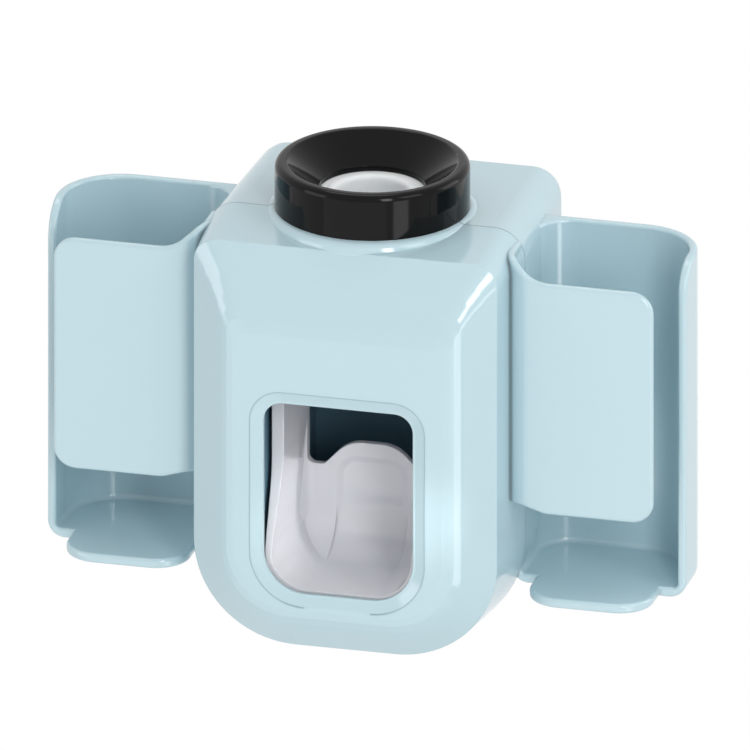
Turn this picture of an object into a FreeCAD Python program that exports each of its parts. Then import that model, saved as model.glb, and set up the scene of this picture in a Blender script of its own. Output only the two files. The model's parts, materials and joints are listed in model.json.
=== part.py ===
import FreeCAD, Part
import math
import os
from collections import namedtuple
from FreeCAD import Vector

# Hand-pumped toothpaste dispenser for a wall, in millimetres.
# Origin at the centre of the wall face, +X to the right seen from the front, +Y into the wall, +Z up.
# Lengths named ahead count forward from the pump's axis, and lengths named drop count down from the deck,
# which is the top of the housing's collar.

# Place of the pump's axis and deck
axis_from_wall = 43.0
deck_height = 57.0

# Housing
half_width = 41.9
top_drop = 0.5
bottom_drop = 113.9
top_corner_radius = 8.2
bottom_corner_radius = 29.0
seam_ahead = 6.0
rim_ahead = 27.0
front_ahead = 35.5
back_behind = 41.5
draft_inset = 2.2
side_draft_inset = 1.9
bevel_side_inset = 10.4
bevel_top_inset = 13.4
bevel_bottom_inset = 10.4
face_top_corner_radius = 4.0
side_crease_softness = 2.0
top_crease_softness = 8.0
bottom_crease_softness = 5.0
side_crease_share = 0.25
top_crease_share = 0.7
bottom_crease_share = 0.5
bevel_level_shares = (0.3, 0.55, 0.75, 0.88, 0.96, 1.0)
back_inset = 0.8
back_side_inset = 1.9
back_corner_radius = 4.3
back_edge_radius = 2.5
back_level_shares = (0.3, 0.6, 0.75, 0.87, 0.95, 1.0)
shell_wall = 2.2
seam_gap = 0.2
inner_rim_share = 0.45
inner_face_share = 0.4

# Collar under the funnel ring
collar_radius = 25.4
collar_wall_height = 0.8
collar_flare_radius = 2.0
collar_depth = 4.5

# Window in the front face
window_half_width = 19.7
window_top_drop = 42.9
window_bottom_drop = 94.7
window_top_radius = 5.0
window_bottom_radius = 11.0
window_lip_width = 3.4
window_lip_depth = 1.2
window_ledge_width = 0.6

# Side wells of the rear shell
well_wall = 2.2
well_root_depth = 3.7
well_inside_depth = 1.3
well_reach = 42.3
well_back_behind = 21.0
well_outer_back_radius = 17.0
well_inner_back_radius = 9.0
well_rim_drop = 6.4
well_floor_drop = 97.5
well_floor_thickness = 2.6
well_bottom_radius = 4.5
well_floor_inner_radius = 1.2
well_edge_radius = 0.8
side_wall_top_radius = 9.5
lip_start_reach = 3.0
lip_end_reach = 35.4
lip_ahead = 20.8
lip_corner_radius = 9.0
lip_edge_radius = 0.9

# Wings of the front shell, which close the wells in front
wing_root_depth = 2.9
wing_wall = 2.05
wing_ahead = 19.7
wing_corner_radius = 7.3
wing_reach = 37.2
wing_free_corner_radius = 5.8
wing_top_drop = 9.35
wing_bottom_drop = 72.5
wing_root_top_drop = 3.3
wing_root_bottom_drop = 70.7
wing_slope_start_depth = 0.9
wing_slope_end_reach = 6.1
wing_slope_start_radius = 5.0
wing_slope_end_radius = 9.0
wing_foot_start_reach = 2.6
wing_foot_end_reach = 8.6
wing_foot_radius = 6.0
wing_edge_radius = 0.95

# Funnel ring
ring_radius = 25.0
ring_height = 12.2
ring_edge_radius = 1.75
ring_wall = 2.2
funnel_top_radius = 22.0
funnel_edge_radius = 0.8
funnel_throat_radius = 13.6
throat_height = 5.2
skirt_inner_radius = 16.2
skirt_wall = 2.0
skirt_depth = 3.5
skirt_gap = 0.4

# Tube seal
seal_flange_thickness = 1.2
seal_height = 3.8
seal_bore_radius = 9.0
seal_wall = 2.7
seal_sleeve_depth = 8.0
seal_lip_height = 0.5
seal_lip_radius = 1.2

# Pump cylinder
fit_gap = 0.1
flange_radius = 22.0
flange_thickness = 3.0
web_drop = 10.0
web_thickness = 2.0
pump_bore_radius = 8.0
pump_barrel_wall = 2.0
pump_bore_end_drop = 31.5
inlet_hole_radius = 1.2
inlet_ring_radius = 4.0
inlet_hole_count = 6
o_ring_radius = 19.6
o_ring_cord_radius = 0.75

# Inlet valve
valve_stem_radius = 1.3
valve_stem_gap = 0.2
valve_disc_radius = 6.4
valve_disc_thickness = 0.9
valve_bulb_radius = 2.2
valve_bulb_height = 1.6

# Piston and its seal
piston_clearance = 0.08
piston_top_drop = 20.0
piston_head_height = 7.0
piston_stem_radius = 5.0
piston_bore_radius = 2.2
seal_groove_drop = 22.0
seal_groove_height = 2.4
seal_groove_depth = 1.4
seal_ring_clearance = 0.05

# Crosshead, its pins and the nozzle
crosshead_top_drop = 37.0
crosshead_height = 6.0
crosshead_radius = 14.5
stem_socket_depth = 3.0
nozzle_socket_depth = 2.2
pin_radius = 1.5
pin_inner_x = 9.5
pin_end_x = 19.8
press_gap = 0.03
nozzle_neck_radius = 4.2
nozzle_flange_radius = 7.0
nozzle_flange_thickness = 2.0
nozzle_root_radius = 5.2
nozzle_tip_radius = 4.0
nozzle_tip_drop = 53.0
outlet_socket_radius = 3.0
outlet_socket_depth = 3.0
outlet_tip_radius = 1.4
outlet_bore_radius = 0.7
outlet_stand_out = 1.4

# Push lever
lever_arm_inner_x = 17.0
lever_arm_thickness = 3.2
lever_top_drop = 33.5
lever_top_radius = 7.0
lever_arm_ahead = 24.0
lever_scoop_ahead = 32.0
lever_sweep_start_drop = 66.0
lever_sweep_end_drop = 88.0
lever_sweep_radius = 26.0
lever_front_corner_radius = 1.2
lever_floor_drop = 95.9
lever_floor_thickness = 1.4
lever_back_thickness = 1.8
lever_bottom_radius = 11.8
lever_tail_behind = 5.5
lever_tail_bottom_drop = 47.0
lever_tail_radius = 3.0
scoop_inner_x = 18.4
scoop_flare_start_drop = 60.0
scoop_flare_end_drop = 82.0
scoop_flare_radius = 30.0
scoop_floor_corner_radius = 9.8
scoop_back_corner_radius = 3.6
scoop_heel_radius = 12.0
pad_top_drop = 65.7
pad_half_flat = 6.4
pad_top_radius = 9.0
notch_bottom_drop = 72.5
notch_width = 4.3
notch_radius = 2.1
pocket_half_width = 7.7
pocket_top_drop = 71.3
pocket_radius = 3.4
pocket_slope_width = 1.7
pocket_depth = 0.9
pivot_ahead = 14.0
pivot_pin_radius = 2.0
pivot_pin_inner_x = 15.6
pin_slot_clearance = 0.35
pin_slot_travel = 0.8
slot_end_share = 0.95

# Pump frame, its bushes and screws
frame_inner_x = 21.4
frame_wall = 2.2
frame_plate_thickness = 2.5
frame_front_ahead = 30.0
frame_top_ahead = 21.5
frame_shoulder_drop = 26.0
frame_bottom_drop = 100.0
frame_foot_cut = 6.0
frame_back_behind = 23.0
bush_wall = 1.2
bush_flange_wall = 1.4
bush_flange_thickness = 0.9
bush_running_gap = 0.05
frame_screw_x = 15.0
frame_screw_upper_drop = 18.0
frame_screw_lower_drop = 96.5
frame_boss_radius = 3.6

# Screws
screw_radius = 1.45
screw_head_radius = 2.7
screw_head_height = 1.9
screw_hole_gap = 0.2
screw_pilot_gap = 0.05
frame_screw_length = 11.0
shell_screw_x = 29.0
shell_screw_upper_drop = 13.0
shell_screw_lower_drop = 98.0
shell_screw_seat_behind = 12.0
shell_screw_length = 30.0
shell_boss_radius = 4.6
counterbore_gap = 0.4

# Return spring
spring_mean_radius = 12.4
spring_wire_radius = 0.6
spring_turns = 6
spring_end_gap = 0.15

# Wall plate and adhesive pad
pad_thickness = 1.0
plate_half_width = 26.0
plate_half_height = 24.0
plate_corner_radius = 6.0
plate_thickness = 3.0
pad_margin = 2.0
plate_gap = 0.3
plate_side_gap = 0.5
pocket_wall = 2.4
hook_x = 12.0
hook_width = 10.0
hook_bottom_z = 6.0
hook_neck_height = 4.0
hook_rise = 7.0
hook_thickness = 2.4
hook_side_gap = 0.3
hook_rest_gap = 0.1
hook_back_gap = 0.7
lift_height = 8.0

# One overrun serves all cuts
overrun = 5.0

# Derived places
axis_y = -axis_from_wall
deck_z = deck_height
well_root_x = half_width - well_root_depth
well_inside_x = half_width - well_inside_depth
well_outer_x = half_width + well_reach
lip_inner_x = half_width + lip_start_reach
lip_outer_x = half_width + lip_end_reach
wing_root_x = half_width - wing_root_depth
wing_edge_x = half_width + wing_reach
wing_slope_start_x = half_width - wing_slope_start_depth
wing_slope_end_x = half_width + wing_slope_end_reach
wing_foot_start_x = half_width + wing_foot_start_reach
wing_foot_end_x = half_width + wing_foot_end_reach
crosshead_mid_drop = crosshead_top_drop + crosshead_height / 2
lever_outer_x = lever_arm_inner_x + lever_arm_thickness
flange_bottom_drop = collar_depth + flange_thickness
cup_radius = skirt_inner_radius - fit_gap
cup_bottom_drop = web_drop + web_thickness
shell_back_from_wall = axis_from_wall - back_behind
pocket_floor_from_wall = pad_thickness + plate_thickness + plate_gap
pocket_face_from_wall = pocket_floor_from_wall + pocket_wall

Outline = namedtuple("Outline", "ahead half_width top bottom top_radius bottom_radius")


def place(x, ahead, drop):
    """Point of the part's frame from its distance ahead of the axis and drop under the deck."""
    return Vector(x, axis_y - ahead, deck_z - drop)


def wall_ahead(distance):
    """Distance ahead of the pump's axis of a plane at a distance from the wall."""
    return distance - axis_from_wall


def rounded_wire(corners):
    """Closed wire through (point, radius) corners, each rounded by its radius."""
    ends = []
    count = len(corners)
    for index, (point, radius) in enumerate(corners):
        to_last = (corners[index - 1][0] - point).normalize()
        to_next = (corners[(index + 1) % count][0] - point).normalize()
        if radius <= 0:
            ends.append((point, None, point))
            continue
        half_angle = to_last.getAngle(to_next) / 2
        reach = radius / math.tan(half_angle)
        inward = (to_last + to_next).normalize()
        middle = point + inward * (radius / math.sin(half_angle) - radius)
        ends.append((point + to_last * reach, middle, point + to_next * reach))
    edges = []
    for index, (start, middle, end) in enumerate(ends):
        if middle is not None:
            edges.append(Part.Arc(start, middle, end).toShape())
        following = ends[(index + 1) % count][0]
        edges.append(Part.LineSegment(end, following).toShape())
    return Part.Wire(edges)


def front_prism(profile, near_ahead, far_ahead):
    """Prism along Y of an (x, drop, radius) outline, from one distance ahead to another."""
    corners = [(place(x, near_ahead, drop), radius) for x, drop, radius in profile]
    return Part.Face(rounded_wire(corners)).extrude(Vector(0, near_ahead - far_ahead, 0))


def side_prism(profile, low_x, high_x):
    """Prism along X of an (ahead, drop, radius) outline."""
    corners = [(place(low_x, ahead, drop), radius) for ahead, drop, radius in profile]
    return Part.Face(rounded_wire(corners)).extrude(Vector(high_x - low_x, 0, 0))


def plan_prism(profile, top, bottom):
    """Prism along Z of an (x, ahead, radius) outline."""
    corners = [(place(x, ahead, bottom), radius) for x, ahead, radius in profile]
    return Part.Face(rounded_wire(corners)).extrude(Vector(0, 0, bottom - top))


def box(low_x, high_x, back_ahead, front, top, bottom):
    """Box between two X places, two distances ahead and two drops."""
    corner = place(low_x, front, bottom)
    return Part.makeBox(high_x - low_x, front - back_ahead, bottom - top, corner)


def turned(profile):
    """Solid turned about the pump's axis from an (radius, drop, corner radius) outline."""
    corners = [(place(radius, 0, drop), corner) for radius, drop, corner in profile]
    return Part.Face(rounded_wire(corners)).revolve(place(0, 0, 0), Vector(0, 0, 1), 360)


def post(x, drop, radius, back_ahead, front):
    """Round post along Y."""
    return Part.makeCylinder(radius, front - back_ahead, place(x, back_ahead, drop), Vector(0, -1, 0))


def cross_pin(radius, low_x, high_x, ahead, drop):
    """Round pin along X."""
    return Part.makeCylinder(radius, high_x - low_x, place(low_x, ahead, drop), Vector(1, 0, 0))


def mirrored(shape):
    """Copy of a shape on the other side of the middle plane."""
    return shape.mirror(Vector(0, 0, 0), Vector(1, 0, 0))


def both_sides(shape):
    """A shape and its mirrored copy as one group."""
    return [shape, mirrored(shape)]


def outline_wire(outline):
    """Wire of a housing outline: square-set sides with their own top and bottom corner radii."""
    profile = [
        (-outline.half_width, outline.top, outline.top_radius),
        (outline.half_width, outline.top, outline.top_radius),
        (outline.half_width, outline.bottom, outline.bottom_radius),
        (-outline.half_width, outline.bottom, outline.bottom_radius),
    ]
    return rounded_wire([(place(x, outline.ahead, drop), radius) for x, drop, radius in profile])


def inset(outline, amount, ahead):
    """Outline drawn in all round by an amount and moved to another depth."""
    return Outline(
        ahead,
        outline.half_width - amount,
        outline.top + amount,
        outline.bottom - amount,
        outline.top_radius - amount,
        outline.bottom_radius - amount,
    )


def loft(outlines):
    """Solid through housing outlines."""
    return Part.makeLoft([outline_wire(outline) for outline in outlines], True, True)


def eased(level_share, rim_value, crease_value, softness, reach_share):
    """Value on the bevel at a share of its depth, eased over the last stretch into the flat face."""
    left_share = (1 - level_share) / reach_share
    if left_share >= 1:
        return rim_value + (crease_value - rim_value) * level_share
    start_value = crease_value + (rim_value - crease_value) * reach_share
    root = math.sqrt(left_share)
    turn = 1 - root
    end_value = crease_value + softness
    return root * root * start_value + 2 * turn * root * crease_value + turn * turn * end_value


def seam_outline(ahead):
    """Housing outline where the shells meet."""
    return Outline(ahead, half_width, top_drop, bottom_drop, top_corner_radius, bottom_corner_radius)


def front_rim():
    """Outline where the front shell's draft ends and its bevel starts."""
    drawn = inset(seam_outline(seam_ahead), draft_inset, rim_ahead)
    return drawn._replace(half_width=half_width - side_draft_inset)


def bevel_outline(level_share):
    """Outline on the bevel, at a share of its depth from the rim to the flat face."""
    rim = front_rim()
    side = eased(level_share, rim.half_width, rim.half_width - bevel_side_inset,
                 -side_crease_softness, side_crease_share)
    top = eased(level_share, rim.top, rim.top + bevel_top_inset, top_crease_softness, top_crease_share)
    bottom = eased(level_share, rim.bottom, rim.bottom - bevel_bottom_inset,
                   -bottom_crease_softness, bottom_crease_share)
    top_radius = rim.top_radius + (face_top_corner_radius - rim.top_radius) * level_share
    ahead = rim_ahead + (front_ahead - rim_ahead) * level_share
    return Outline(ahead, side, top, bottom, top_radius, rim.bottom_radius - (rim.half_width - side))


def front_outer():
    """Outside of the front shell."""
    start = seam_outline(seam_ahead + seam_gap / 2)
    levels = [bevel_outline(level_share) for level_share in bevel_level_shares]
    return loft([start, front_rim()] + levels)


def front_inner():
    """Hollow of the front shell."""
    start = inset(seam_outline(seam_ahead), shell_wall, seam_ahead - overrun)
    rim = inset(front_rim(), shell_wall, rim_ahead - shell_wall * inner_rim_share)
    face = inset(bevel_outline(1), shell_wall * inner_face_share, front_ahead - shell_wall)
    return loft([start, start._replace(ahead=seam_ahead), rim, face])


def rear_outlines(wall):
    """Outlines of the rear shell, drawn in by a wall, with its rounded back corners."""
    seam = inset(seam_outline(seam_ahead), wall, seam_ahead - seam_gap / 2)
    back = inset(seam, back_inset, wall - back_behind)
    back = back._replace(half_width=seam.half_width - back_side_inset)
    corner = back_corner_radius - wall
    start = back._replace(ahead=back.ahead + corner)
    outlines = [seam, start]
    for share in back_level_shares:
        angle = share * math.pi / 2
        depth = corner * math.sin(angle)
        over = max(0, depth - corner + back_edge_radius)
        drawn = back_edge_radius - math.sqrt(back_edge_radius ** 2 - over ** 2)
        outlines.append(Outline(
            start.ahead - depth,
            back.half_width - corner * (1 - math.cos(angle)),
            back.top + drawn,
            back.bottom - drawn,
            back.top_radius,
            back.bottom_radius,
        ))
    return outlines


def rear_inner():
    """Hollow of the rear shell, open at the seam."""
    outlines = rear_outlines(shell_wall)
    mouth = outlines[0]._replace(ahead=seam_ahead + overrun)
    return loft([mouth] + outlines)


def collar(front_half):
    """Half of the flared collar round the hole for the funnel ring."""
    flare_radius = collar_radius + collar_flare_radius
    flare_drop = collar_wall_height + collar_flare_radius
    disc = turned([
        (0, 0, 0),
        (collar_radius, 0, 0),
        (collar_radius, flare_drop, collar_flare_radius),
        (flare_radius + overrun, flare_drop, 0),
        (flare_radius + overrun, collar_depth, 0),
        (0, collar_depth, 0),
    ])
    reach = flare_radius + overrun
    if front_half:
        half = box(-reach, reach, seam_ahead + seam_gap / 2, rim_ahead, -overrun, collar_depth)
    else:
        half = box(-reach, reach, -reach, seam_ahead - seam_gap / 2, -overrun, collar_depth)
    return disc.common(half)


def trimmed_collar(outer, front_half):
    """Collar half without what its flare would carry past the housing's outside."""
    ring = collar(front_half)
    core = Part.makeCylinder(collar_radius, collar_depth, place(0, 0, collar_depth))
    lift = outer.copy()
    lift.translate(Vector(0, 0, collar_flare_radius))
    return ring.common(core).fuse(ring.common(lift))


def ring_hole():
    """Hole through the collar for the funnel ring's skirt."""
    radius = skirt_inner_radius + skirt_wall + skirt_gap
    return Part.makeCylinder(radius, collar_depth + overrun * 2, place(0, 0, collar_depth + overrun))


def shell_screw_places():
    """X and drop of each screw that holds the shells together."""
    rows = ((shell_screw_x, shell_screw_upper_drop), (shell_screw_x, shell_screw_lower_drop))
    return [(side * x, drop) for x, drop in rows for side in (-1, 1)]


def frame_screw_places():
    """X and drop of each screw that holds the pump frame."""
    drops = (frame_screw_upper_drop, frame_screw_lower_drop)
    return [(side * frame_screw_x, drop) for drop in drops for side in (-1, 1)]


def window_profile(margin):
    """Window outline grown by a margin."""
    side = window_half_width + margin
    top = window_top_drop - margin
    bottom = window_bottom_drop + margin
    return [
        (-side, top, window_top_radius + margin),
        (side, top, window_top_radius + margin),
        (side, bottom, window_bottom_radius + margin),
        (-side, bottom, window_bottom_radius + margin),
    ]


def window_dish():
    """Sloping recess round the window, from the flat face in to the window's edge."""
    growth = (window_lip_width - window_ledge_width) / window_lip_depth
    wires = []
    for depth in (window_lip_depth, -window_lip_depth):
        margin = window_ledge_width + (window_lip_depth - depth) * growth
        profile = window_profile(margin)
        wires.append(rounded_wire([(place(x, front_ahead - depth, drop), r) for x, drop, r in profile]))
    return Part.makeLoft(wires, True, True)


def front_shell():
    """Drafted and bevelled front shell with the window and screw bosses."""
    outer = front_outer()
    shell = outer.cut(front_inner())
    shell = shell.fuse(trimmed_collar(outer, True))
    for x, drop in shell_screw_places():
        boss = post(x, drop, shell_boss_radius, seam_ahead + seam_gap / 2, front_ahead)
        shell = shell.fuse(boss.common(outer))
        pilot_end = shell_screw_length - shell_screw_seat_behind
        pilot = post(x, drop, screw_radius + screw_pilot_gap, seam_ahead - overrun, pilot_end)
        shell = shell.cut(pilot)
    shell = shell.cut(ring_hole())
    shell = shell.cut(front_prism(window_profile(0), front_ahead - overrun, front_ahead + overrun))
    shell = shell.cut(window_dish())
    for wing in both_sides(side_wing()):
        shell = shell.fuse(wing)
    return shell


def side_wing():
    """Right-hand wing: a panel that leaves the front shell's side in a round corner."""
    far_x = wing_edge_x + overrun
    back = seam_ahead + seam_gap / 2
    inside_x = wing_root_x + wing_wall
    plan = plan_prism([
        (wing_root_x, back, 0),
        (inside_x, back, 0),
        (inside_x, wing_ahead - wing_wall, wing_corner_radius - wing_wall),
        (far_x, wing_ahead - wing_wall, 0),
        (far_x, wing_ahead, 0),
        (wing_root_x, wing_ahead, wing_corner_radius),
    ], 0, wing_bottom_drop + overrun)
    low_x = wing_root_x - overrun
    front = front_prism([
        (low_x, wing_root_top_drop, 0),
        (wing_slope_start_x, wing_root_top_drop, wing_slope_start_radius),
        (wing_slope_end_x, wing_top_drop, wing_slope_end_radius),
        (wing_edge_x, wing_top_drop, wing_free_corner_radius),
        (wing_edge_x, wing_bottom_drop, wing_free_corner_radius),
        (wing_foot_end_x, wing_bottom_drop, wing_foot_radius),
        (wing_foot_start_x, wing_root_bottom_drop, wing_foot_radius),
        (low_x, wing_root_bottom_drop, 0),
    ], seam_ahead, wing_ahead + overrun)
    wing = plan.common(front)
    return wing.makeFillet(wing_edge_radius, wing_edges(wing))


def wing_edges(wing):
    """Edges all round a wing's free outline, on its front and on its back."""
    turn_y = place(0, wing_ahead - wing_corner_radius + wing_edge_radius, 0).y
    slack = overrun / 1e3
    edges = []
    for edge in wing.Edges:
        room = edge.BoundBox
        across = room.XLength > slack
        free = room.XMin > wing_edge_x - slack and room.ZLength > slack
        if room.YMin < turn_y and (across or free):
            edges.append(edge)
    return edges


def bottom_edges(shape):
    """Edges that lie in a shape's lowest plane."""
    low = shape.BoundBox.ZMin
    slack = shape.BoundBox.ZLength / 1e6
    return [edge for edge in shape.Edges if edge.BoundBox.ZMax < low + slack]


def side_well():
    """Right-hand well: back wall, outer wall and floor behind the seam, open in front and at the top."""
    front = seam_ahead - seam_gap / 2
    far = front + well_outer_back_radius
    outer = plan_prism([
        (well_root_x, -well_back_behind, 0),
        (well_outer_x, -well_back_behind, well_outer_back_radius),
        (well_outer_x, far, 0),
        (well_root_x, far, 0),
    ], 0, well_floor_drop)
    outer = outer.makeFillet(well_bottom_radius, bottom_edges(outer))
    inner = plan_prism([
        (well_inside_x, well_wall - well_back_behind, well_inner_back_radius),
        (well_outer_x - well_wall, well_wall - well_back_behind, well_outer_back_radius - well_wall),
        (well_outer_x - well_wall, far + overrun, 0),
        (well_inside_x, far + overrun, 0),
    ], -overrun, well_floor_drop - well_floor_thickness)
    inner = inner.makeFillet(well_floor_inner_radius, bottom_edges(inner))
    kept = side_prism([
        (-well_back_behind - overrun, well_rim_drop, 0),
        (front, well_rim_drop, side_wall_top_radius),
        (front, well_floor_drop + overrun, 0),
        (-well_back_behind - overrun, well_floor_drop + overrun, 0),
    ], well_root_x - overrun, well_outer_x + overrun)
    well = outer.cut(inner).common(kept)
    return well.makeFillet(well_edge_radius, rim_edges(well)).fuse(floor_lip())


def rim_edges(well):
    """Edges of the well's rim and of its outer wall's front, inside and outside."""
    front_y = place(0, seam_ahead - seam_gap / 2, 0).y
    rim_z = place(0, 0, well_rim_drop).z
    round_z = rim_z - side_wall_top_radius
    floor_z = place(0, 0, well_floor_drop - well_bottom_radius).z
    slack = overrun / 1e3
    middle_x = (well_root_x + well_outer_x) / 2
    edges = []
    for edge in well.Edges:
        room = edge.BoundBox
        on_rim = room.ZMin > rim_z - slack and room.XMax > well_inside_x + slack
        on_round = room.ZMin > round_z - slack and room.XMin > middle_x
        on_front = room.YMax < front_y + slack and room.XMin > middle_x and room.ZMax > floor_z
        crossing = room.YLength + room.ZLength < slack and room.XLength < well_wall + slack
        if (on_rim or on_round or on_front) and not crossing:
            edges.append(edge)
    return edges


def floor_lip():
    """Floor plate that stands out in front of the well's open foot, with rounded edges."""
    back = seam_ahead - seam_gap / 2 - well_wall
    lip = plan_prism([
        (lip_inner_x, back, 0),
        (lip_outer_x, back, 0),
        (lip_outer_x, lip_ahead, lip_corner_radius),
        (lip_inner_x, lip_ahead, lip_corner_radius),
    ], well_floor_drop - well_floor_thickness, well_floor_drop)
    back_y = place(0, back, 0).y
    slack = overrun / 1e3
    edges = []
    for edge in lip.Edges:
        room = edge.BoundBox
        if room.ZLength < slack and room.YMin < back_y - slack:
            edges.append(edge)
    return lip.makeFillet(lip_edge_radius, edges)


def plate_pocket():
    """Recess in the rear shell's back for the wall plate, with room to lift off it."""
    side = plate_half_width + plate_side_gap
    top = deck_height - plate_half_height - plate_side_gap
    bottom = deck_height + plate_half_height + plate_side_gap + lift_height
    radius = plate_corner_radius + plate_side_gap
    return [(-side, top, radius), (side, top, radius), (side, bottom, radius), (-side, bottom, radius)]


def hook_slots():
    """Slots in the pocket's floor that pass the wall plate's hooks."""
    top = deck_height - hook_bottom_z - hook_neck_height - hook_rest_gap
    bottom = deck_height - hook_bottom_z + lift_height + hook_side_gap
    half = hook_width / 2 + hook_side_gap
    back = wall_ahead(shell_back_from_wall)
    front = wall_ahead(pocket_face_from_wall) + overrun
    return [box(side * hook_x - half, side * hook_x + half, back, front, top, bottom) for side in (-1, 1)]


def rear_shell():
    """Rear shell with both side wells, the wall plate's pocket and the screw bosses in one moulding."""
    outer = loft(rear_outlines(0))
    shell = outer.fuse(trimmed_collar(outer, False))
    for well in both_sides(side_well()):
        shell = shell.fuse(well)
    shell = shell.cut(rear_inner())
    shell = shell.fuse(collar(False).common(Part.makeCylinder(
        collar_radius, collar_depth, place(0, 0, collar_depth))))
    side = plate_half_width + plate_side_gap + pocket_wall
    top = deck_height - plate_half_height - plate_side_gap - pocket_wall
    bottom = deck_height + plate_half_height + plate_side_gap + lift_height + pocket_wall
    back = shell_wall / 2 - back_behind
    shell = shell.fuse(box(-side, side, back, wall_ahead(pocket_face_from_wall), top, bottom))
    boss_back = shell_wall / 2 - back_behind
    for x, drop in shell_screw_places():
        shell = shell.fuse(post(x, drop, shell_boss_radius, boss_back, seam_ahead - seam_gap / 2))
        bore = screw_head_radius + counterbore_gap
        shell = shell.cut(post(x, drop, bore, -back_behind - overrun, -shell_screw_seat_behind))
        hole = screw_radius + screw_hole_gap
        shell = shell.cut(post(x, drop, hole, -back_behind, seam_ahead + overrun))
    frame_back = -frame_back_behind - frame_wall
    for x, drop in frame_screw_places():
        shell = shell.fuse(post(x, drop, frame_boss_radius, boss_back, frame_back))
        depth = frame_screw_length - frame_wall
        pilot_radius = screw_radius + screw_pilot_gap
        shell = shell.cut(post(x, drop, pilot_radius, frame_back - depth, frame_back + overrun))
    shell = shell.cut(front_prism(plate_pocket(), -back_behind - overrun, wall_ahead(pocket_floor_from_wall)))
    for slot in hook_slots():
        shell = shell.cut(slot)
    return shell.cut(ring_hole())


def funnel_ring():
    """Screw ring with the funnel for the tube's neck, hollow underneath."""
    slope = (ring_height - throat_height) / (funnel_top_radius - funnel_throat_radius)
    under = ring_wall * math.sqrt(1 + slope ** 2)
    skirt_radius = skirt_inner_radius + skirt_wall
    skirt_top = throat_height + (skirt_radius - funnel_throat_radius) * slope - under
    return turned([
        (ring_radius, 0, 0),
        (ring_radius, -ring_height, ring_edge_radius),
        (funnel_top_radius, -ring_height, funnel_edge_radius),
        (funnel_throat_radius, -throat_height, 0),
        (funnel_throat_radius, -seal_height, 0),
        (skirt_inner_radius, -seal_height, 0),
        (skirt_inner_radius, skirt_depth, 0),
        (skirt_radius, skirt_depth, 0),
        (skirt_radius, -skirt_top, 0),
        (ring_radius - ring_wall, ring_wall - ring_height, 0),
        (ring_radius - ring_wall, 0, 0),
    ])


def tube_seal():
    """Soft seal whose lipped bore grips the tube's neck."""
    sleeve_radius = seal_bore_radius + seal_wall
    flange_top = -seal_height
    lip_radius = seal_bore_radius + 2 * seal_lip_radius
    return turned([
        (seal_bore_radius, flange_top - seal_lip_height, seal_lip_radius),
        (lip_radius, flange_top - seal_lip_height, seal_lip_height / 2),
        (lip_radius, flange_top, seal_lip_height / 3),
        (cup_radius, flange_top, 0),
        (cup_radius, flange_top + seal_flange_thickness, 0),
        (sleeve_radius, flange_top + seal_flange_thickness, 0),
        (sleeve_radius, seal_sleeve_depth, 0),
        (seal_bore_radius, seal_sleeve_depth, 0),
    ])


def pump_cylinder():
    """Cup for the seal, clamping flange, web with the inlet holes, and pump barrel in one moulding."""
    cup_top = seal_flange_thickness - seal_height
    cup_bore = seal_bore_radius + seal_wall + fit_gap
    barrel = pump_bore_radius + pump_barrel_wall
    body = turned([
        (0, web_drop, 0),
        (cup_bore, web_drop, 0),
        (cup_bore, cup_top, 0),
        (cup_radius, cup_top, 0),
        (cup_radius, collar_depth, 0),
        (flange_radius, collar_depth, 0),
        (flange_radius, flange_bottom_drop, 0),
        (cup_radius, flange_bottom_drop, 0),
        (cup_radius, cup_bottom_drop, 0),
        (barrel, cup_bottom_drop, 0),
        (barrel, pump_bore_end_drop, 0),
        (pump_bore_radius, pump_bore_end_drop, 0),
        (pump_bore_radius, cup_bottom_drop, 0),
        (0, cup_bottom_drop, 0),
    ])
    groove_half = o_ring_cord_radius + fit_gap
    body = body.cut(turned([
        (o_ring_radius - groove_half, collar_depth - overrun, 0),
        (o_ring_radius + groove_half, collar_depth - overrun, 0),
        (o_ring_radius + groove_half, collar_depth + 2 * groove_half, 0),
        (o_ring_radius - groove_half, collar_depth + 2 * groove_half, 0),
    ]))
    depth = web_thickness + 2 * overrun
    holes = [Part.makeCylinder(valve_stem_radius + valve_stem_gap, depth, place(0, 0, cup_bottom_drop + overrun))]
    for index in range(inlet_hole_count):
        angle = 2 * math.pi * index / inlet_hole_count
        x = inlet_ring_radius * math.cos(angle)
        ahead = inlet_ring_radius * math.sin(angle)
        holes.append(Part.makeCylinder(inlet_hole_radius, depth, place(x, ahead, cup_bottom_drop + overrun)))
    for hole in holes:
        body = body.cut(hole)
    return body


def cylinder_o_ring():
    """Seal ring in the flange's groove."""
    centre = place(0, 0, collar_depth + o_ring_cord_radius + fit_gap)
    return Part.makeTorus(o_ring_radius, o_ring_cord_radius, centre, Vector(0, 0, 1))


def inlet_valve():
    """Umbrella valve: disc under the web, stem through it and a bulb that holds it."""
    bulb_bottom = web_drop
    return turned([
        (0, bulb_bottom - valve_bulb_height, 0),
        (valve_bulb_radius, bulb_bottom - valve_bulb_height, valve_bulb_height / 2),
        (valve_bulb_radius, bulb_bottom, 0),
        (valve_stem_radius, bulb_bottom, 0),
        (valve_stem_radius, cup_bottom_drop, 0),
        (valve_disc_radius, cup_bottom_drop, 0),
        (valve_disc_radius, cup_bottom_drop + valve_disc_thickness, valve_disc_thickness / 2),
        (0, cup_bottom_drop + valve_disc_thickness, 0),
    ])


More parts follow.
